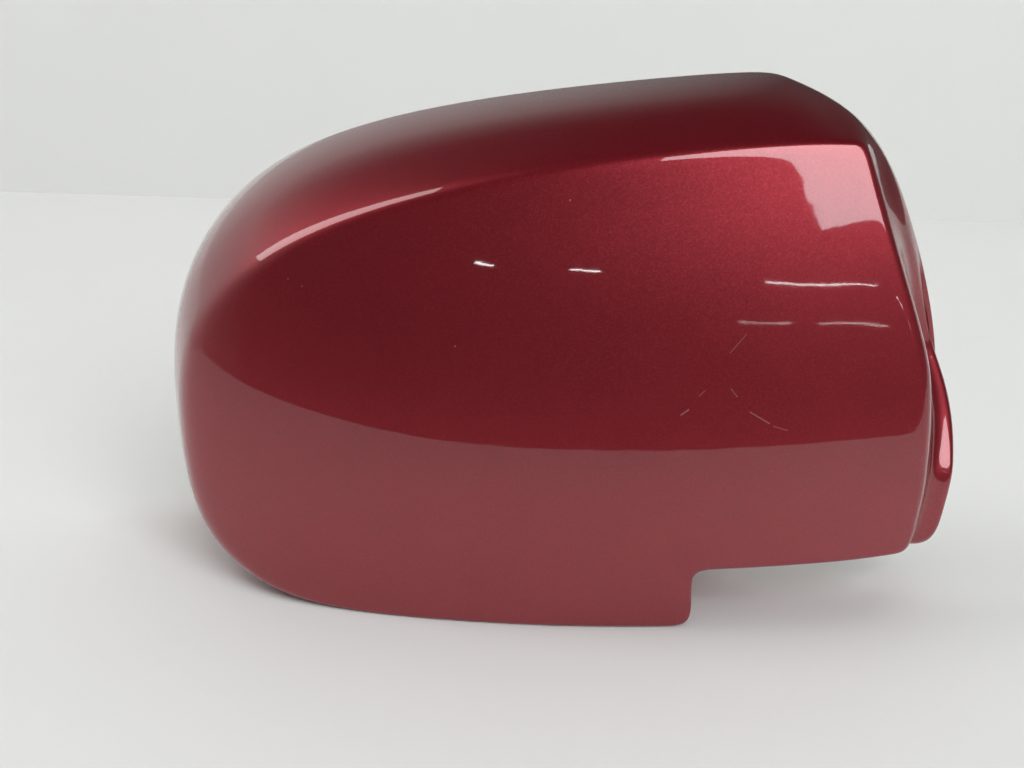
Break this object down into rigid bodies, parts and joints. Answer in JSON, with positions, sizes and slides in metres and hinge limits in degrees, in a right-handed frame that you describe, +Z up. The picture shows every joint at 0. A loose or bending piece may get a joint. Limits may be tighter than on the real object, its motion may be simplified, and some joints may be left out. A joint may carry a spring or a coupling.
{
  "type": "wing mirror cover",
  "caption": "Painted moulded shell that caps the forward side of a car door mirror, with a stepped chin and a rim that snaps over the mirror housing.",
  "frame": {"origin": "middle of the part's box at the flat bottom of the chin, where it stands", "axes": "+X to the inboard side of the mirror, +Y to the rear through the open rim, +Z up"},
  "size_m": [0.2442, 0.0918, 0.1512],
  "materials": {
    "paint": "metallic base coat under clear coat on moulded ABS"
  },
  "bodies": {
    "root": {"mirror_cover": "paint"}
  },
  "joints": []
}
